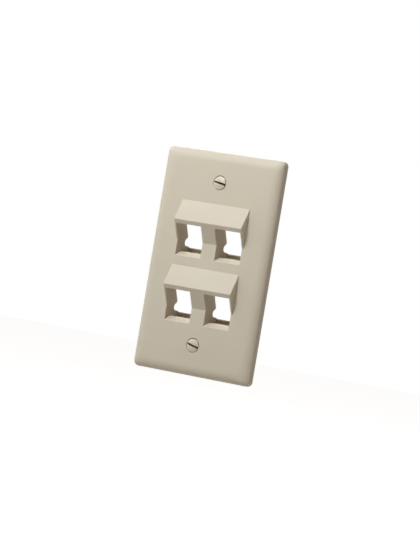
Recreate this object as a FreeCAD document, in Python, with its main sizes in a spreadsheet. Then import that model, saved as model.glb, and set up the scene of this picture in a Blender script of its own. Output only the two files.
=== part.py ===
"""Four-port keystone faceplate for a one-gang wall box, with its two screws.

The row frame is in millimetres: X runs to the right, Y into the wall and Z up. The plate's rim stands on
the wall plane, Y = 0, and the origin is the middle of the plate on that plane. Every size is a cell of the
sheet, and every sketch and feature is bound to those cells.
"""
import math
import os
import re

import FreeCAD
import Part
import Sketcher

SIZES = {
    # the plate
    "plate_width": 69.85,
    "plate_height": 114.3,
    "plate_depth": 5.7,
    "corner_radius": 2.6,
    "edge_width": 5.4,
    "edge_depth": 3.4,
    "rim_wall": 2.0,
    "front_wall": 2.2,
    "cavity_corner_radius": 0.6,
    # the hoods: a roof that rises to a lip, over a face that tips the ports down
    "hood_height": 20.5,
    "face_length": 11.43,
    "face_tilt": 28.4,
    "lip_radius": 0.6,
    "cheek_wall": 0.95,
    "roof_wall": 1.8,
    "upper_kink": 10.28,
    "row_pitch": 33.41,
    # the ports, across the tilted face and along its normal
    "port_pitch": 23.5,
    "port_width": 15.0,
    "port_height": 16.12,
    "header": 2.36,
    "frame_depth": 9.5,
    "frame_wall": 1.75,
    # the latch room above a port, and the catch behind it
    "latch_start": 4.0,
    "latch_room": 2.6,
    "catch_start": 8.0,
    "catch_step": 0.5,
    "catch_land": 0.7,
    "catch_lead": 30.0,
    # the lip below a port, the hook room behind it and the bar that closes that room
    "ramp_end": 0.95,
    "sill_length": 3.9,
    "sill_radius": 6.0,
    "lip_end_radius": 0.5,
    "lip_wall": 2.35,
    "hook_room": 3.35,
    "bar_start": 8.4,
    "bar_drop": 1.95,
    # the notch in the walls beside the hook room
    "notch_depth": 7.62,
    "notch_drop": 5.26,
    "notch_radius": 1.85,
    "notch_ledge": 1.75,
    "notch_mouth": 2.9,
    # the screws, and the holes and bosses that take them
    "screw_spacing": 83.34,
    "head_diameter": 6.8,
    "head_land": 0.2,
    "dome_height": 1.1,
    "cone_angle": 82.0,
    "neck_diameter": 3.0,
    "neck_length": 1.6,
    "shank_diameter": 3.5,
    "screw_length": 19.05,
    "tip_chamfer": 0.6,
    "slot_width": 1.1,
    "slot_depth": 1.05,
    "upper_slot_turn": 9.0,
    "lower_slot_turn": 14.0,
    "sink_diameter": 7.8,
    "hole_diameter": 4.2,
    "seat_clearance": 0.05,
    "boss_diameter": 10.0,
    "boss_gap": 1.6,
    # the ribs that stiffen the front wall, and how deep they run into the walls they join
    "rib_thickness": 1.2,
    "rib_gap": 1.6,
    "rib_bite": 0.2,
    "spine_start": 30.0,
    "middle_rib_drop": 1.2,
    # small edges
    "hood_edge_radius": 0.4,
    "port_edge_radius": 0.3,
}

# Formulas that several outlines share. The tilted section's up axis runs up a port's face from the kink.
TILT = "face_tilt * 1deg"
SHOULDER = "(plate_depth - edge_depth)"
HOOD_WIDTH = "(port_pitch + port_width + 2 * cheek_wall)"
FRAME_WIDTH = "(port_pitch + port_width + 2 * frame_wall)"
PORT_TOP = "(face_length - header)"
PORT_BOTTOM = "(face_length - header - port_height)"
CEILING = "(face_length - header + latch_room + frame_wall)"
HOOK_FLOOR = "(face_length - header - port_height - hook_room)"
BAR_TOP = "(face_length - header - port_height - bar_drop)"
BEHIND = "(2 * frame_depth)"

# Two places closer than this, in millimetres, are taken as the same place.
SAME_PLACE = 0.01

doc = FreeCAD.newDocument("keystone_faceplate")


def make_sheet():
    """Puts the driving sizes in a sheet, one named cell each."""
    sheet = doc.addObject("Spreadsheet::Sheet", "sizes")
    for row, (name, value) in enumerate(SIZES.items(), start=1):
        sheet.set(f"A{row}", name)
        sheet.set(f"B{row}", str(value))
        sheet.setAlias(f"B{row}", name)
    doc.recompute()
    return sheet


def formula(text):
    """Turns bare size names into references to the sheet's cells."""
    names = "|".join(SIZES)
    return re.sub(rf"\b({names})\b", r"sizes.\1", text)


def bind(thing, prop, text):
    thing.setExpression(prop, formula(text))


def origin_item(body, role):
    """One of the body's own planes or axes, such as XZ_Plane."""
    return next(item for item in body.Origin.OriginFeatures if item.Role == role)


def new_body(name):
    body = doc.addObject("PartDesign::Body", name)
    body.Label = name
    return body


def new_sketch(body, name, role, right="0", up="0", out="0", tilt=None):
    """A sketch on one of the body's own planes, moved and turned within that plane."""
    sketch = body.newObject("Sketcher::SketchObject", name)
    sketch.AttachmentSupport = (origin_item(body, role), "")
    sketch.MapMode = "FlatFace"
    bind(sketch, "AttachmentOffset.Base.x", right)
    bind(sketch, "AttachmentOffset.Base.y", up)
    bind(sketch, "AttachmentOffset.Base.z", out)
    if tilt:
        # a first small turn, so that the bound angle turns the sketch about its own normal
        sketch.AttachmentOffset = FreeCAD.Placement(FreeCAD.Vector(), FreeCAD.Rotation(0, 0, 1, 0.1))
        bind(sketch, "AttachmentOffset.Rotation.Angle", tilt)
    return sketch


def place_point(sketch, line, end, across, up):
    """Fixes one end of a line at two formulas from the sketch's origin."""
    for kind, text in (("DistanceX", across), ("DistanceY", up)):
        number = sketch.addConstraint(Sketcher.Constraint(kind, -1, 1, line, end, 1.0))
        bind(sketch, f"Constraints[{number}]", text)


def outline(sketch, points, rounds=None):
    """Draws a closed outline through points given as formulas, and rounds the corners named in rounds.

    The lines start as an even ring of the sketch's own making, and the constraints draw them into place.
    """
    count = len(points)
    ring = [FreeCAD.Vector(10 * math.cos(2 * math.pi * i / count), 10 * math.sin(2 * math.pi * i / count))
            for i in range(count)]
    lines = [sketch.addGeometry(Part.LineSegment(ring[i], ring[(i + 1) % count])) for i in range(count)]
    for i, line in enumerate(lines):
        sketch.addConstraint(Sketcher.Constraint("Coincident", line, 2, lines[(i + 1) % count], 1))
        place_point(sketch, line, 1, *points[i])
    doc.recompute()
    for corner, radius in (rounds or {}).items():
        round_corner(sketch, lines[corner - 1], lines[corner], radius)
    return sketch


def round_corner(sketch, before, after, radius):
    """Rounds the corner where two lines meet, by a radius that stays bound to its cell."""
    sketch.fillet(before, 2, SIZES[radius], True, True)
    arc = sketch.GeometryCount - 1
    while sketch.Geometry[arc].TypeId != "Part::GeomArcOfCircle":
        arc -= 1
    number = sketch.addConstraint(Sketcher.Constraint("Radius", arc, SIZES[radius]))
    bind(sketch, f"Constraints[{number}]", radius)


def pad(body, name, sketch, length, midplane=False):
    feature = body.newObject("PartDesign::Pad", name)
    feature.Profile = sketch
    feature.Midplane = midplane
    bind(feature, "Length", length)
    return feature


def pocket(body, name, sketch, length, midplane=False, reverse=False):
    feature = body.newObject("PartDesign::Pocket", name)
    feature.Profile = sketch
    feature.Midplane = midplane
    feature.Reversed = reverse
    bind(feature, "Length", length)
    return feature


def in_rows(body, name, originals):
    """Repeats features of the upper row in the lower row."""
    rows = body.newObject("PartDesign::LinearPattern", name)
    rows.Originals = originals
    rows.Direction = (origin_item(body, "Z_Axis"), [""])
    rows.Reversed = True
    rows.Occurrences = 2
    bind(rows, "Length", "row_pitch")
    body.Tip = rows
    return rows


def on_both_ends(body, name, originals):
    """Repeats a feature of the upper end at the lower end."""
    ends = body.newObject("PartDesign::Mirrored", name)
    ends.Originals = originals
    ends.MirrorPlane = (origin_item(body, "XY_Plane"), [""])
    body.Tip = ends
    return ends


def rectangle(sketch, half_width, half_height, rounds=None):
    """Draws a rectangle about the sketch's origin, from its half sizes."""
    corners = [(-1, -1), (1, -1), (1, 1), (-1, 1)]
    return outline(sketch, [(f"{i} * ({half_width})", f"{j} * ({half_height})") for i, j in corners], rounds)


def on_front(depth, across):
    """The point of the tilted section at a depth behind the plate's front, at a height across the axis."""
    return (f"(({depth}) + ({across}) * sin(face_tilt * 1deg)) / cos(face_tilt * 1deg)", across)


def tilted_sketch(body, name, column="0"):
    """A sketch of the upper row's section: right runs along the ports' axis, up runs up the tilted face."""
    return new_sketch(body, name, "YZ_Plane", right="-plate_depth", up="upper_kink", out=column,
                      tilt="face_tilt * 1deg")


def edges_where(shape, test):
    """Names the edges of a shape that pass a test."""
    return [f"Edge{i}" for i, edge in enumerate(shape.Edges, start=1) if test(edge)]


def dress(body, kind, name, edges):
    base = body.Tip
    feature = body.newObject(kind, name)
    feature.Base = (base, edges)
    body.Tip = feature
    return feature


def near(first, second):
    return abs(first - second) < SAME_PLACE


def border(body, name, inset, radius, out):
    """The plate's outline, drawn in by an inset, at a distance in front of the wall."""
    sketch = new_sketch(body, name, "XZ_Plane", out=out)
    return rectangle(sketch, f"plate_width / 2 - {inset}", f"plate_height / 2 - {inset}",
                     {corner: radius for corner in range(4)})


def rounded_loft(body, kind, name, inset, reach, corner, steps):
    """A loft whose side turns in a quarter of an ellipse, from the shoulder's level to a flat front.

    The ellipse starts at the inset and ends at the edge's width across the plate, and its other half axis is
    the reach. The sections stand at even angles along it.
    """
    sections = []
    for step in range(steps + 1):
        angle = f"({90 * step / steps} * 1deg)"
        sections.append(border(body, f"{name}_section_{step}",
                               f"({inset} + (edge_width - {inset}) * (1 - cos{angle}))", corner,
                               f"({SHOULDER} + ({reach}) * sin{angle})"))
    feature = body.newObject(kind, name)
    feature.Profile = sections[0]
    feature.Sections = sections[1:]
    body.Tip = feature
    return feature


def add_plate(body):
    """The plate: a straight foot that stands on the wall, and an edge that curves from it to the front."""
    pad(body, "foot", border(body, "foot_outline", "0", "corner_radius", "0"), SHOULDER)
    rounded_loft(body, "PartDesign::AdditiveLoft", "round_edge", "0", "edge_depth", "corner_radius", 6)


def hollow_plate(body):
    """The cavity behind the front wall: it follows the rounded edge, so the wall stays even."""
    pocket(body, "cavity", border(body, "cavity_outline", "rim_wall", "cavity_corner_radius", "0"),
           SHOULDER, reverse=True)
    rounded_loft(body, "PartDesign::SubtractiveLoft", "cavity_edge", "rim_wall", "edge_depth - front_wall",
                 "cavity_corner_radius", 3)


def add_hoods(body):
    """The hoods: a wedge in each row, whose under face tips down."""
    section = tilted_sketch(body, "hood_section")
    outline(section, [("0", "0"), ("0", "face_length"),
                      (f"hood_height * sin({TILT})", f"hood_height * cos({TILT})")], {1: "lip_radius"})
    hood = pad(body, "hood", section, HOOD_WIDTH, midplane=True)
    in_rows(body, "hoods", [hood])


def add_frames(body):
    """The port frames: a block in each row that stands behind the tilted face, square to it."""
    section = tilted_sketch(body, "frame_section")
    under_lip = f"({PORT_BOTTOM} - lip_wall)"
    outline(section, [on_front("front_wall / 2", CEILING),
                      ("frame_depth", CEILING),
                      ("frame_depth", f"{HOOK_FLOOR} - frame_wall"),
                      ("ramp_end + lip_wall", f"{HOOK_FLOOR} - frame_wall"),
                      ("ramp_end", under_lip),
                      on_front("front_wall / 2", under_lip)])
    frame = pad(body, "frame", section, FRAME_WIDTH, midplane=True)
    in_rows(body, "frames", [frame])


def add_bosses_and_ribs(body):
    """A boss behind each screw hole, a cross of ribs on it, and a rib between the rows."""
    seat = new_sketch(body, "boss_outline", "XZ_Plane", out="boss_gap")
    circle(seat, "boss_diameter", "0", "screw_spacing / 2")
    boss = pad(body, "boss", seat, "plate_depth - boss_gap - front_wall + rib_bite")
    on_both_ends(body, "bosses", [boss])
    rib_height = "(plate_depth - rib_gap - front_wall + rib_bite)"
    reach = "(plate_width / 2 - rim_wall + rib_bite)"
    half = "(rib_thickness / 2)"
    ribs = []
    row = "(screw_spacing / 2)"
    for name, left, right, low, high in (
            ("cross_rib", f"0 - {reach}", reach, f"{row} - {half}", f"{row} + {half}"),
            ("spine_rib", f"0 - {half}", half, "spine_start", "plate_height / 2 - rim_wall + rib_bite")):
        sketch = new_sketch(body, f"{name}_outline", "XZ_Plane", out="rib_gap")
        outline(sketch, [(left, low), (right, low), (right, high), (left, high)])
        ribs.append(pad(body, name, sketch, rib_height))
    on_both_ends(body, "end_ribs", ribs)
    sketch = new_sketch(body, "middle_rib_outline", "XZ_Plane", up="0 - middle_rib_drop", out="rib_gap")
    pad(body, "middle_rib", rectangle(sketch, reach, half), rib_height)


def hollow_hoods(body):
    """The room between a hood's roof and the ceiling of its port frame."""
    section = tilted_sketch(body, "hood_room_section")
    slope = f"((hood_height * cos({TILT}) - face_length) / (hood_height * sin({TILT})))"
    roof = f"(face_length - roof_wall * sqrt(1 + {slope} ^ 2))"
    outline(section, [(f"({CEILING} - {roof}) / {slope}", CEILING),
                      (BEHIND, CEILING),
                      (BEHIND, f"{roof} + {slope} * {BEHIND}")])
    room = pocket(body, "hood_room", section, f"{HOOD_WIDTH} - 2 * roof_wall", midplane=True)
    in_rows(body, "hood_rooms", [room])


def cut_ports(body):
    """The ports: each section has its latch room and catch above, and its lip, hook room and bar below."""
    section = tilted_sketch(body, "port_section", column="0 - port_pitch / 2")
    catch_top = f"({PORT_TOP} + catch_step)"
    lip_end = f"(ramp_end + sill_length * cos({TILT}))"
    outline(section, [("0 - port_height", PORT_TOP),
                      ("latch_start", PORT_TOP),
                      ("latch_start", f"{PORT_TOP} + latch_room"),
                      ("catch_start", f"{PORT_TOP} + latch_room"),
                      ("catch_start", catch_top),
                      ("catch_start + catch_land", catch_top),
                      ("frame_depth + catch_land", f"{catch_top} + (frame_depth - catch_start)"
                                                   " * tan(catch_lead * 1deg)"),
                      (BEHIND, f"{catch_top}"),
                      (BEHIND, BAR_TOP),
                      ("bar_start", BAR_TOP),
                      ("bar_start", HOOK_FLOOR),
                      (lip_end, HOOK_FLOOR),
                      (lip_end, f"{PORT_BOTTOM} - sill_length * sin({TILT})"),
                      ("ramp_end", PORT_BOTTOM),
                      ("0 - port_height", PORT_BOTTOM)], {12: "lip_end_radius", 13: "sill_radius"})
    port = pocket(body, "port", section, "port_width", midplane=True)
    ports = in_rows(body, "ports", [port])
    ports.Direction2 = (origin_item(body, "X_Axis"), [""])
    ports.Occurrences2 = 2
    bind(ports, "Length2", "port_pitch")


def cut_notches(body):
    """The round notch in every side wall beside the hook room, with a throat that opens to the back."""
    eye = tilted_sketch(body, "notch_circle")
    circle(eye, "2 * notch_radius", "notch_depth", "0 - notch_drop")
    throat = tilted_sketch(body, "notch_throat_section")
    low_right = f"(notch_depth - notch_radius * sin({TILT}))"
    low_up = f"(0 - notch_drop - notch_radius * cos({TILT}))"
    outline(throat, [(BEHIND, "0 - notch_mouth"),
                     ("frame_depth", "0 - notch_mouth"),
                     ("notch_depth", f"0 - notch_drop + notch_radius * cos({TILT})"),
                     (low_right, low_up),
                     (f"{low_right} + notch_ledge * cos({TILT})", f"{low_up} - notch_ledge * sin({TILT})"),
                     ("frame_depth", BAR_TOP),
                     (BEHIND, BAR_TOP)])
    cuts = [pocket(body, "notch_eye", eye, FRAME_WIDTH, midplane=True),
            pocket(body, "notch_throat", throat, FRAME_WIDTH, midplane=True)]
    in_rows(body, "notches", cuts)


def hollow_webs(body):
    """The room in the web between the two ports of a row, open to the back."""
    section = tilted_sketch(body, "web_room_section")
    outline(section, [("front_wall", PORT_TOP),
                      ("front_wall", f"front_wall * (cos({TILT}) - 1) / sin({TILT})"),
                      on_front("front_wall", PORT_BOTTOM),
                      (BEHIND, PORT_BOTTOM),
                      (BEHIND, PORT_TOP)])
    room = pocket(body, "web_room", section, "port_pitch - port_width - 2 * frame_wall", midplane=True)
    in_rows(body, "web_rooms", [room])


def drill_screw_holes(body):
    """The two countersunk holes."""
    centres = new_sketch(body, "hole_centres", "XZ_Plane", out="plate_depth")
    circle(centres, "hole_diameter", "0", "screw_spacing / 2")
    circle(centres, "hole_diameter", "0", "0 - screw_spacing / 2")
    doc.recompute()
    hole = body.newObject("PartDesign::Hole", "screw_holes")
    hole.Profile = centres
    hole.DepthType = "ThroughAll"
    hole.HoleCutType = "Countersink"
    hole.HoleCutCustomValues = True
    bind(hole, "Diameter", "hole_diameter")
    bind(hole, "HoleCutDiameter", "sink_diameter")
    bind(hole, "HoleCutCountersinkAngle", "cone_angle")


def circle(sketch, diameter, across, up):
    """Draws a circle whose centre and diameter are formulas."""
    ring = sketch.addGeometry(Part.Circle(FreeCAD.Vector(1, 1), FreeCAD.Vector(0, 0, 1), 1))
    place_point(sketch, ring, 3, across, up)
    number = sketch.addConstraint(Sketcher.Constraint("Diameter", ring, 2.0))
    bind(sketch, f"Constraints[{number}]", diameter)
    return ring


def dress_edges(body, name, edges, radius):
    """Rounds a list of edges by one named radius."""
    feature = dress(body, "PartDesign::Fillet", name, edges)
    bind(feature, "Radius", radius)
    doc.recompute()


def soften_hoods_and_ports(body):
    """Takes the sharpness off the hoods' sides and the ports' mouths."""
    tilt = math.radians(SIZES["face_tilt"])
    front = -SIZES["plate_depth"]
    mouth = SIZES["port_pitch"] / 2
    half_port = SIZES["port_width"] / 2
    hood_side = mouth + half_port + SIZES["cheek_wall"]
    kinks = [SIZES["upper_kink"], SIZES["upper_kink"] - SIZES["row_pitch"]]

    def on_cheek(edge):
        box = edge.BoundBox
        return (near(abs(box.XMin), hood_side) and near(box.XLength, 0)
                and box.YMax < front + SAME_PLACE and box.YLength > SAME_PLACE)

    def on_mouth(edge):
        points = [vertex.Point for vertex in edge.Vertexes]
        across = [abs(abs(point.x) - mouth) for point in points]
        return all(near(gap, half_port) for gap in across) and all(
            any(near((point.y - front) * math.cos(tilt) + (point.z - kink) * math.sin(tilt), 0)
                and point.z > kink - SAME_PLACE or near(point.y, front) and point.z < kink + SAME_PLACE
                and point.z > kink - SIZES["port_height"]
                for kink in kinks) for point in points)

    dress_edges(body, "soft_cheeks", edges_where(body.Tip.Shape, on_cheek), "hood_edge_radius")
    dress_edges(body, "soft_mouths", edges_where(body.Tip.Shape, on_mouth), "port_edge_radius")


def make_faceplate():
    body = new_body("faceplate")
    for step in (add_plate, hollow_plate, add_hoods, add_frames, hollow_hoods, hollow_webs, cut_ports,
                 cut_notches, add_bosses_and_ribs, drill_screw_holes, soften_hoods_and_ports):
        step(body)
        doc.recompute()
    return body


def arch(sketch, line):
    """Trades a straight edge for an arc whose centre lies on the sketch's right axis."""
    crown, rim = sketch.Geometry[line].StartPoint, sketch.Geometry[line].EndPoint
    rise = rim.x - crown.x
    radius = (rim.y ** 2 + rise ** 2) / (2 * rise)
    centre = FreeCAD.Vector(crown.x + radius, 0)
    start = math.atan2(rim.y, rim.x - centre.x)
    ring = Part.Circle(centre, FreeCAD.Vector(0, 0, 1), radius)
    arc = sketch.addGeometry(Part.ArcOfCircle(ring, start, math.pi))
    sketch.toggleConstruction(line)
    sketch.addConstraint(Sketcher.Constraint("Coincident", arc, 1, line, 2))
    sketch.addConstraint(Sketcher.Constraint("Coincident", arc, 2, line, 1))
    sketch.addConstraint(Sketcher.Constraint("PointOnObject", arc, 3, -1))


def make_screw(name, height, turn):
    """A slotted oval-head screw, turned about the axis that runs into the wall.

    A plain neck of the blank's own diameter stands between the cone and the threaded shank.
    """
    body = new_body(name)
    section = new_sketch(body, f"{name}_section", "YZ_Plane")
    flare = "tan(cone_angle / 2 * 1deg)"
    seat = f"(0 - plate_depth + (sink_diameter - head_diameter) / 2 / {flare} - seat_clearance)"
    rim = f"({seat} - head_land)"
    crown = f"({rim} - dome_height)"
    neck = f"({seat} + (head_diameter - neck_diameter) / 2 / {flare})"
    tip = f"({rim} + screw_length)"
    outline(section, [(crown, "0"),
                      (rim, "head_diameter / 2"),
                      (seat, "head_diameter / 2"),
                      (neck, "neck_diameter / 2"),
                      (f"{neck} + neck_length", "neck_diameter / 2"),
                      (f"{neck} + neck_length + (shank_diameter - neck_diameter) / 2", "shank_diameter / 2"),
                      (f"{tip} - tip_chamfer", "shank_diameter / 2"),
                      (tip, "shank_diameter / 2 - tip_chamfer"),
                      (tip, "0")])
    arch(section, 0)
    turned = body.newObject("PartDesign::Revolution", f"{name}_blank")
    turned.Profile = section
    turned.ReferenceAxis = (section, ["H_Axis"])
    turned.Angle = 360
    slot = new_sketch(body, f"{name}_slot_outline", "XZ_Plane", out=f"0 - {crown}")
    rectangle(slot, "head_diameter", "slot_width / 2")
    pocket(body, f"{name}_slot", slot, "slot_depth")
    body.Placement = FreeCAD.Placement(FreeCAD.Vector(), FreeCAD.Rotation(FreeCAD.Vector(0, 1, 0), 1))
    bind(body, "Placement.Base.z", height)
    bind(body, "Placement.Rotation.Angle", f"{turn} * 1deg")
    doc.recompute()
    return body


def export(bodies):
    """Writes one STEP file a body, once every feature is sound."""
    faults = [thing.Name for thing in doc.Objects if {"Invalid", "Error"} & set(thing.State)]
    faults += [body.Label for body in bodies if body.Shape.isNull() or not body.Shape.isValid()]
    if faults:
        raise RuntimeError(f"these features did not build: {', '.join(faults)}")
    os.makedirs("parts", exist_ok=True)
    for body in bodies:
        body.Shape.exportStep(f"parts/{body.Label}.step")


make_sheet()
export([make_faceplate(),
        make_screw("upper_screw", "screw_spacing / 2", "upper_slot_turn"),
        make_screw("lower_screw", "0 - screw_spacing / 2", "lower_slot_turn")])
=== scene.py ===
import math

import bmesh
import bpy
from mathutils import Matrix, Vector


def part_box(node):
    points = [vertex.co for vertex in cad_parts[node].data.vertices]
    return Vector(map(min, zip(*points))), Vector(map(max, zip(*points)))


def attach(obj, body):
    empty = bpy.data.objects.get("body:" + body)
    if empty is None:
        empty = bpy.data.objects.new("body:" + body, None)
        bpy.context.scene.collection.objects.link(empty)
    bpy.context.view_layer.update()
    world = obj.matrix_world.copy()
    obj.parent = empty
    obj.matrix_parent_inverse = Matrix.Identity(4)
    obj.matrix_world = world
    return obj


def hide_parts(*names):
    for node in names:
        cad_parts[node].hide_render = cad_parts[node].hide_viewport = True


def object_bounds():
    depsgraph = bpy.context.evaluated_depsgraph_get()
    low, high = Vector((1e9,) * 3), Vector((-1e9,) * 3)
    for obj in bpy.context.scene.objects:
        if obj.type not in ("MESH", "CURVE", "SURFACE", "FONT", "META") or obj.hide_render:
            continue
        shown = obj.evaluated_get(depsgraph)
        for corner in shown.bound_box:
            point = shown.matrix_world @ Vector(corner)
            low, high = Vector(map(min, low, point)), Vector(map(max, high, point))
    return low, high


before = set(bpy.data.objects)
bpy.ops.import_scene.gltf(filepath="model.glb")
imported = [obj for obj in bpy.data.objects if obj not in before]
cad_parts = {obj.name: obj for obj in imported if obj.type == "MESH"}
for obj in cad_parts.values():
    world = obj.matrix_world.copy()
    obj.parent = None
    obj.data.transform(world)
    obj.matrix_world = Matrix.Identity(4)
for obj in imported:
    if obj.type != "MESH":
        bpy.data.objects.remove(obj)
cad_low, cad_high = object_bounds()


# The faceplate is a single injection moulding in ivory ABS: the dished plate, both hoods, the port frames
# behind them, the screw bosses and the ribs. The mould leaves a satin skin with a very fine, even grain.
plate_weld = 0.000002
plate_crease = 24
deeper_ivory, paler_ivory = (0.582, 0.505, 0.395, 1), (0.596, 0.519, 0.409, 1)
tint_scale = 24
grain_scale, grain_depth = 2600, 0.00004


def linked(piece_name, mesh):
    """Puts a mesh in the scene as an object of its own, at the origin."""
    piece = bpy.data.objects.new(piece_name, mesh)
    bpy.context.collection.objects.link(piece)
    return piece


def finished(piece):
    """Turns a piece and its modifiers into one plain mesh."""
    bpy.context.view_layer.update()
    shaped = piece.evaluated_get(bpy.context.evaluated_depsgraph_get())
    result = bpy.data.meshes.new_from_object(shaped)
    piece.modifiers.clear()
    piece.data = result


def smooth_skin(mesh, crease):
    """Shades a mesh smooth, and keeps every edge sharp that turns by more than the crease."""
    mesh.shade_smooth()
    mesh.set_sharp_from_angle(angle=math.radians(crease))


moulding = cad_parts["faceplate"].data.copy()
moulding.attributes.remove(moulding.attributes["custom_normal"])
joined = bmesh.new()
joined.from_mesh(moulding)
bmesh.ops.remove_doubles(joined, verts=joined.verts, dist=plate_weld)
joined.to_mesh(moulding)
joined.free()
smooth_skin(moulding, plate_crease)
faceplate = linked("ivory_faceplate", moulding)
even_shading = faceplate.modifiers.new("even_shading", "WEIGHTED_NORMAL")
even_shading.keep_sharp = True
finished(faceplate)

ivory = bpy.data.materials.new("ivory_abs")
ivory.use_nodes = True
nodes, links = ivory.node_tree.nodes, ivory.node_tree.links
shader = nodes["Principled BSDF"]
shader.inputs["Roughness"].default_value = 0.5
shader.inputs["Specular IOR Level"].default_value = 0.25
shader.inputs["Subsurface Weight"].default_value = 0.10
shader.inputs["Subsurface Radius"].default_value = (1.0, 0.55, 0.30)
shader.inputs["Subsurface Scale"].default_value = 0.0010
place = nodes.new("ShaderNodeTexCoord")
drift = nodes.new("ShaderNodeTexNoise")
drift.inputs["Scale"].default_value = tint_scale
drift.inputs["Detail"].default_value = 3
tint = nodes.new("ShaderNodeValToRGB")
for element, position, colour in zip(tint.color_ramp.elements, (0.35, 0.70), (deeper_ivory, paler_ivory)):
    element.position = position
    element.color = colour
grain = nodes.new("ShaderNodeTexNoise")
grain.inputs["Scale"].default_value = grain_scale
grain.inputs["Detail"].default_value = 2
relief = nodes.new("ShaderNodeBump")
relief.inputs["Strength"].default_value = 0.15
relief.inputs["Distance"].default_value = grain_depth
links.new(place.outputs["Object"], drift.inputs["Vector"])
links.new(place.outputs["Object"], grain.inputs["Vector"])
links.new(drift.outputs["Fac"], tint.inputs["Fac"])
links.new(tint.outputs["Color"], shader.inputs["Base Color"])
links.new(grain.outputs["Fac"], relief.inputs["Height"])
links.new(relief.outputs["Normal"], shader.inputs["Normal"])
faceplate.data.materials.clear()
faceplate.data.materials.append(ivory)
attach(faceplate, "root")
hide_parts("faceplate")


# The two screws are slotted oval-head 6-32 machine screws in zinc-plated steel, with a rolled thread. Their
# heads are painted to match the plate. Each hangs in its countersink, its slot left where the driver left it.
# The slot and the head's side below its rim are coloured dark brown: bare steel darkened into painted shade
# for the deep slot and the shadowed gap in the countersink.
head_radius = 0.0034
crown_rise = 0.00075
head_land = 0.00055
sink_half_angle = math.radians(41)
neck_radius, neck_length = 0.0015, 0.0016
thread_radius, root_radius, pitch = 0.00175, 0.00134, 0.00079375
thread_overlap = 0.00003
run_in, tip_bevel, thread_stop = 0.0002, 0.0003, 0.0004
slot_width, slot_depth = 0.0010, 0.0014
slot_turns = {"upper_screw": 9, "lower_screw": 14}
dome_steps, blank_steps = 12, 72
blank_weld = 0.0000005
blank_crease, thread_crease = 30, 40


def thread_tree():
    """A rolled thread: one strip a pitch wide, wound into a helix along +Y, that fades out at both ends."""
    rows_across, steps_per_turn = 9, 40
    flank_steepness = 1.25
    thread_weld = 0.000004
    tree = bpy.data.node_groups.new("rolled_thread", "GeometryNodeTree")
    tree.is_modifier = True
    for socket_name in ("Crest Radius", "Root Radius", "Pitch", "Length", "Start"):
        tree.interface.new_socket(socket_name, in_out="INPUT", socket_type="NodeSocketFloat")
    tree.interface.new_socket("Surface", in_out="INPUT", socket_type="NodeSocketMaterial")
    tree.interface.new_socket("Geometry", in_out="OUTPUT", socket_type="NodeSocketGeometry")
    nodes, links = tree.nodes, tree.links
    given = nodes.new("NodeGroupInput")
    result = nodes.new("NodeGroupOutput")

    def math_node(operation, *values):
        node = nodes.new("ShaderNodeMath")
        node.operation = operation
        for socket, value in zip(node.inputs, values):
            if isinstance(value, (int, float)):
                socket.default_value = value
            else:
                links.new(value, socket)
        return node.outputs[0]

    strip = nodes.new("GeometryNodeMeshGrid")
    strip.inputs["Size X"].default_value = 1
    strip.inputs["Size Y"].default_value = 1
    strip.inputs["Vertices Y"].default_value = rows_across
    turns = math_node("DIVIDE", given.outputs["Length"], given.outputs["Pitch"])
    links.new(math_node("MULTIPLY", turns, steps_per_turn), strip.inputs["Vertices X"])
    spot = nodes.new("GeometryNodeInputPosition")
    parts = nodes.new("ShaderNodeSeparateXYZ")
    links.new(spot.outputs["Position"], parts.inputs["Vector"])
    along = math_node("ADD", parts.outputs["X"], 0.5)
    across = parts.outputs["Y"]
    # a flank rises from the root at each side of the strip to a narrow crest in its middle
    flank = math_node("SUBTRACT", 1, math_node("MULTIPLY", math_node("ABSOLUTE", across), 2))
    flank = math_node("MINIMUM", math_node("MULTIPLY", flank, flank_steepness), 1)
    # the height grows over the first turn, and shrinks over the last one
    ends = math_node("MINIMUM", math_node("MULTIPLY", along, turns),
                     math_node("MULTIPLY", math_node("SUBTRACT", 1, along), turns))
    fade = math_node("MINIMUM", math_node("MAXIMUM", ends, 0), 1)
    height = math_node("MULTIPLY", math_node("SUBTRACT", given.outputs["Crest Radius"],
                                             given.outputs["Root Radius"]), flank)
    radius = math_node("ADD", given.outputs["Root Radius"], math_node("MULTIPLY", height, fade))
    angle = math_node("MULTIPLY", math_node("MULTIPLY", along, turns), math.tau)
    rise = math_node("ADD", given.outputs["Start"],
                     math_node("ADD", math_node("MULTIPLY", along, given.outputs["Length"]),
                               math_node("MULTIPLY", across, given.outputs["Pitch"])))
    where = nodes.new("ShaderNodeCombineXYZ")
    links.new(math_node("MULTIPLY", radius, math_node("SINE", angle)), where.inputs["X"])
    links.new(rise, where.inputs["Y"])
    links.new(math_node("MULTIPLY", radius, math_node("COSINE", angle)), where.inputs["Z"])
    wound = nodes.new("GeometryNodeSetPosition")
    links.new(strip.outputs["Mesh"], wound.inputs["Geometry"])
    links.new(where.outputs["Vector"], wound.inputs["Position"])
    welded = nodes.new("GeometryNodeMergeByDistance")
    welded.inputs["Distance"].default_value = thread_weld
    links.new(wound.outputs["Geometry"], welded.inputs["Geometry"])
    real = nodes.new("GeometryNodeRealizeInstances")
    links.new(welded.outputs["Geometry"], real.inputs["Geometry"])
    coat = nodes.new("GeometryNodeSetMaterial")
    links.new(real.outputs["Geometry"], coat.inputs["Geometry"])
    links.new(given.outputs["Surface"], coat.inputs["Material"])
    links.new(coat.outputs["Geometry"], result.inputs["Geometry"])
    return tree


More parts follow.
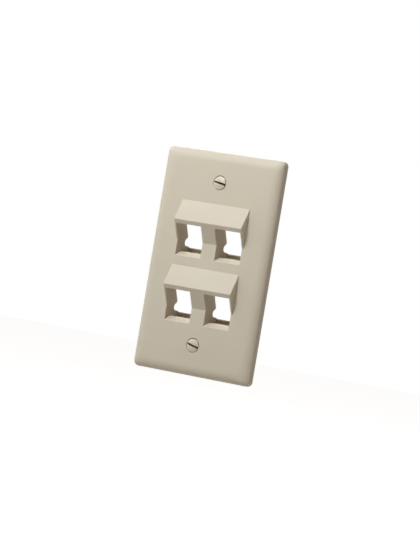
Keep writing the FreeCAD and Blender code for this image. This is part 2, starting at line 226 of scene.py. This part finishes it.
def flecked(material_name, colours, scale, roughness, metallic, relief_depth):
    """A finish whose colour drifts between two tones, over a fine relief of the same grain."""
    material = bpy.data.materials.new(material_name)
    material.use_nodes = True
    nodes, links = material.node_tree.nodes, material.node_tree.links
    shader = nodes["Principled BSDF"]
    shader.inputs["Roughness"].default_value = roughness
    shader.inputs["Metallic"].default_value = metallic
    place = nodes.new("ShaderNodeTexCoord")
    speck = nodes.new("ShaderNodeTexNoise")
    speck.inputs["Scale"].default_value = scale
    speck.inputs["Detail"].default_value = 4
    tone = nodes.new("ShaderNodeValToRGB")
    for element, position, colour in zip(tone.color_ramp.elements, (0.35, 0.65), colours):
        element.position = position
        element.color = (*colour, 1)
    dent = nodes.new("ShaderNodeBump")
    dent.inputs["Strength"].default_value = 0.5
    dent.inputs["Distance"].default_value = relief_depth
    links.new(place.outputs["Object"], speck.inputs["Vector"])
    links.new(speck.outputs["Fac"], tone.inputs["Fac"])
    links.new(tone.outputs["Color"], shader.inputs["Base Color"])
    links.new(speck.outputs["Fac"], dent.inputs["Height"])
    links.new(dent.outputs["Normal"], shader.inputs["Normal"])
    return material


paint = flecked("head_paint", ((0.53, 0.46, 0.35), (0.64, 0.56, 0.43)),
                scale=1400, roughness=0.30, metallic=0.0, relief_depth=0.00008)
zinc = flecked("zinc_plate", ((0.34, 0.34, 0.32), (0.48, 0.48, 0.46)),
               scale=1500, roughness=0.30, metallic=1.0, relief_depth=0.00002)
# A dark brown, matt finish for the slot and the head's side: bare steel, darkened into painted shade of the
# deep slot and of the shadowed gap around the head.
bare_steel_and_shade = flecked("bare_steel_painted_shade", ((0.17, 0.13, 0.085), (0.25, 0.20, 0.135)),
               scale=1800, roughness=0.8, metallic=0.0, relief_depth=0.00003)
bare_steel_and_shade.node_tree.nodes["Principled BSDF"].inputs["Specular IOR Level"].default_value = 0.1
finishes = (paint, zinc, bare_steel_and_shade)


def spun(profile, steps):
    """Turns a profile of (distance along Y, radius) about the Y axis into a closed mesh."""
    turned = bmesh.new()
    ring = [turned.verts.new((radius, along, 0)) for along, radius in profile]
    edges = [turned.edges.new(pair) for pair in zip(ring, ring[1:])]
    bmesh.ops.spin(turned, geom=ring + edges, cent=(0, 0, 0), axis=(0, 1, 0), angle=math.tau, steps=steps,
                   use_merge=True)
    bmesh.ops.remove_doubles(turned, verts=turned.verts, dist=blank_weld)
    bmesh.ops.recalc_face_normals(turned, faces=turned.faces)
    mesh = bpy.data.meshes.new("turned")
    turned.to_mesh(mesh)
    turned.free()
    return mesh


rolled_thread = thread_tree()
for name, slot_turn in slot_turns.items():
    low, high = (Vector(corner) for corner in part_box(name))
    axis_x, axis_z = (low.x + high.x) / 2, (low.z + high.z) / 2
    crown, tip = low.y, high.y
    rim = crown + crown_rise
    seat = rim + head_land
    neck = seat + (head_radius - neck_radius) / math.tan(sink_half_angle)
    thread_start = neck + neck_length
    # the crown is a flat dome, an arc through its middle and its rim
    dome_radius = (head_radius ** 2 + crown_rise ** 2) / (2 * crown_rise)
    sweep = math.asin(head_radius / dome_radius)
    dome_angles = [sweep * i / dome_steps for i in range(dome_steps + 1)]
    profile = [(crown + dome_radius * (1 - math.cos(angle)), dome_radius * math.sin(angle))
               for angle in dome_angles]
    profile += [(seat, head_radius), (neck, neck_radius), (thread_start, neck_radius),
                (thread_start + run_in, root_radius), (tip - tip_bevel, root_radius),
                (tip, root_radius - tip_bevel), (tip, 0)]
    blank = linked(f"{name}_blank", spun(profile, blank_steps))
    smooth_skin(blank.data, blank_crease)
    for finish in finishes:
        blank.data.materials.append(finish)
    for polygon in blank.data.polygons:
        # the paint stops at the rim, the land and cone down to the neck get the dark painted shade of the
        # gap, and the zinc shows from the neck on
        depth = polygon.center.y
        polygon.material_index = finishes.index(paint if depth < rim else bare_steel_and_shade if depth < neck else zinc)
    cutter_mesh = bpy.data.meshes.new("driver")
    # the cutter's dark painted-shade finish passes to the walls and floor of the slot
    cutter_mesh.materials.append(bare_steel_and_shade)
    cutter = linked("driver", cutter_mesh)
    box = bmesh.new()
    bmesh.ops.create_cube(box, size=1)
    bmesh.ops.scale(box, vec=(4 * head_radius, 2 * slot_depth, slot_width), verts=box.verts)
    bmesh.ops.translate(box, vec=(0, crown, 0), verts=box.verts)
    box.to_mesh(cutter_mesh)
    box.free()
    slotting = blank.modifiers.new("slot", "BOOLEAN")
    slotting.operation = "DIFFERENCE"
    slotting.solver = "EXACT"
    slotting.object = cutter
    slotting.material_mode = "TRANSFER"
    finished(blank)
    bpy.data.objects.remove(cutter)
    thread = linked(f"{name}_thread", bpy.data.meshes.new("thread"))
    winding = thread.modifiers.new("thread", "NODES")
    winding.node_group = rolled_thread
    given = {item.name: item.identifier for item in rolled_thread.interface.items_tree
             if item.in_out == "INPUT"}
    thread_inputs = {
        "Crest Radius": thread_radius, "Root Radius": root_radius - thread_overlap, "Pitch": pitch,
        "Length": tip - thread_stop - thread_start, "Start": thread_start, "Surface": zinc,
    }
    for socket_name, value in thread_inputs.items():
        winding[given[socket_name]] = value
    finished(thread)
    smooth_skin(thread.data, thread_crease)
    whole = bmesh.new()
    whole.from_mesh(thread.data)
    for face in whole.faces:
        face.material_index = finishes.index(zinc)
    whole.from_mesh(blank.data)
    turn = Matrix.Translation((axis_x, 0, axis_z)) @ Matrix.Rotation(math.radians(slot_turn), 4, "Y")
    whole.transform(turn)
    mesh = bpy.data.meshes.new(f"painted_{name}")
    whole.to_mesh(mesh)
    whole.free()
    for finish in finishes:
        mesh.materials.append(finish)
    screw = linked(f"painted_{name}", mesh)
    for spare in (blank, thread):
        bpy.data.objects.remove(spare)
    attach(screw, "root")
    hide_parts(name)


# The studio: a pale paper floor well below the plate, in a white room. The camera and every reflection see
# both as plain white. The lamps light the plate, and the room adds only a very weak warm fill.
floor_drop = 0.10
floor_half = 2.5
floor_glow = 0.95


def seen_white(nodes, links):
    """Is 1 for a ray of the camera, and for one that was mirrored or passed through something clear."""
    path = nodes.new("ShaderNodeLightPath")
    clear = nodes.new("ShaderNodeMath")
    clear.operation = "MAXIMUM"
    links.new(path.outputs["Is Glossy Ray"], clear.inputs[0])
    links.new(path.outputs["Is Transmission Ray"], clear.inputs[1])
    seen = nodes.new("ShaderNodeMath")
    seen.operation = "MAXIMUM"
    links.new(path.outputs["Is Camera Ray"], seen.inputs[0])
    links.new(clear.outputs[0], seen.inputs[1])
    return seen.outputs[0]


floor_mesh = bpy.data.meshes.new("floor")
floor_mesh.from_pydata([(x * floor_half, y * floor_half, cad_low[2] - floor_drop)
                        for x, y in ((-1, -1), (1, -1), (1, 1), (-1, 1))], [], [(0, 1, 2, 3)])
floor = linked("floor", floor_mesh)
floor_paper = bpy.data.materials.new("floor_paper")
floor_paper.use_nodes = True
nodes, links = floor_paper.node_tree.nodes, floor_paper.node_tree.links
nodes.remove(nodes["Principled BSDF"])
paper = nodes.new("ShaderNodeBsdfDiffuse")
paper.inputs["Color"].default_value = (0.62, 0.60, 0.56, 1)
glow = nodes.new("ShaderNodeEmission")
glow.inputs["Color"].default_value = (1, 1, 1, 1)
scaled = nodes.new("ShaderNodeMath")
scaled.operation = "MULTIPLY"
scaled.inputs[1].default_value = floor_glow
both = nodes.new("ShaderNodeAddShader")
links.new(seen_white(nodes, links), scaled.inputs[0])
links.new(scaled.outputs[0], glow.inputs["Strength"])
links.new(paper.outputs["BSDF"], both.inputs[0])
links.new(glow.outputs["Emission"], both.inputs[1])
links.new(both.outputs["Shader"], nodes["Material Output"].inputs["Surface"])
floor.data.materials.append(floor_paper)

world = bpy.data.worlds.new("white_room")
bpy.context.scene.world = world
world.use_nodes = True
nodes, links = world.node_tree.nodes, world.node_tree.links
fill = nodes["Background"]
fill.inputs["Color"].default_value = (1.0, 0.6, 0.4, 1)
fill.inputs["Strength"].default_value = 0.04
backdrop = nodes.new("ShaderNodeBackground")
backdrop.inputs["Color"].default_value = (1, 1, 1, 1)
pick = nodes.new("ShaderNodeMixShader")
links.new(seen_white(nodes, links), pick.inputs["Fac"])
links.new(fill.outputs["Background"], pick.inputs[1])
links.new(backdrop.outputs["Background"], pick.inputs[2])
links.new(pick.outputs["Shader"], nodes["World Output"].inputs["Surface"])


# The lamps: one softbox close above the plate, two weak ones at its left, one at its right, and three behind
# it that shine on its back and on the ledges in the ports. Each points at the plate's middle.
def softbox(lamp_name, azimuth, elevation, power, colour, distance=1.5, size=0.9):
    """A square lamp. Azimuth and elevation are in degrees, azimuth from the plate's front to its right."""
    lamp = bpy.data.lights.new(lamp_name, "AREA")
    lamp.size = size
    lamp.energy = power
    lamp.color = colour
    stand = bpy.data.objects.new(lamp_name, lamp)
    bpy.context.collection.objects.link(stand)
    side, lift = math.radians(azimuth), math.radians(elevation)
    way = Vector((math.sin(side) * math.cos(lift), -math.cos(side) * math.cos(lift), math.sin(lift)))
    stand.location = way * distance
    stand.rotation_mode = "QUATERNION"
    stand.rotation_quaternion = way.to_track_quat("Z", "Y")
    stand.visible_camera = False


softbox("key_softbox", azimuth=-10, elevation=46, power=2.53, colour=(0.88, 0.95, 1.0),
        distance=0.5, size=0.2)
softbox("left_softbox", azimuth=-75, elevation=15, power=4.1, colour=(0.95, 1.0, 1.0))
softbox("high_left_softbox", azimuth=-60, elevation=45, power=2.2, colour=(0.95, 1.0, 1.0))
softbox("right_softbox", azimuth=90, elevation=10, power=3.6, colour=(1.0, 0.97, 0.93))
softbox("rear_left_softbox", azimuth=-140, elevation=20, power=8.4, colour=(1.0, 0.95, 0.80))
softbox("rear_top_softbox", azimuth=180, elevation=60, power=1.2, colour=(1.0, 0.90, 0.75))
softbox("rear_softbox", azimuth=176, elevation=8, power=2.8, colour=(1.0, 0.94, 0.80))


# The camera stands to the plate's right, level with its middle, and leans so that the plate seems to tip.
# Yaw turns it about the plate, rise lifts it, and aim is where it points, across and up from the middle.
yaw, rise, lean = math.radians(31.52), math.radians(0.36), math.radians(9.495)
distance = 1.3703
aim_right, aim_up = -0.00079, -0.00107
back = Vector((math.sin(yaw) * math.cos(rise), -math.cos(yaw) * math.cos(rise), math.sin(rise)))
right = (-back).cross(Vector((0, 0, 1))).normalized()
up = right.cross(-back)
leaned_right = right * math.cos(lean) + up * math.sin(lean)
leaned_up = up * math.cos(lean) - right * math.sin(lean)
camera = bpy.data.objects.new("camera", bpy.data.cameras.new("camera"))
bpy.context.collection.objects.link(camera)
camera.matrix_world = (Matrix.Translation(right * aim_right + up * aim_up + back * distance)
                       @ Matrix((leaned_right, leaned_up, back)).transposed().to_4x4())
camera.data.lens = 181.9
camera.data.sensor_width = 36
camera.data.clip_start, camera.data.clip_end = 0.05, 20
bpy.context.scene.camera = camera
bpy.context.scene.view_settings.view_transform = "Standard"
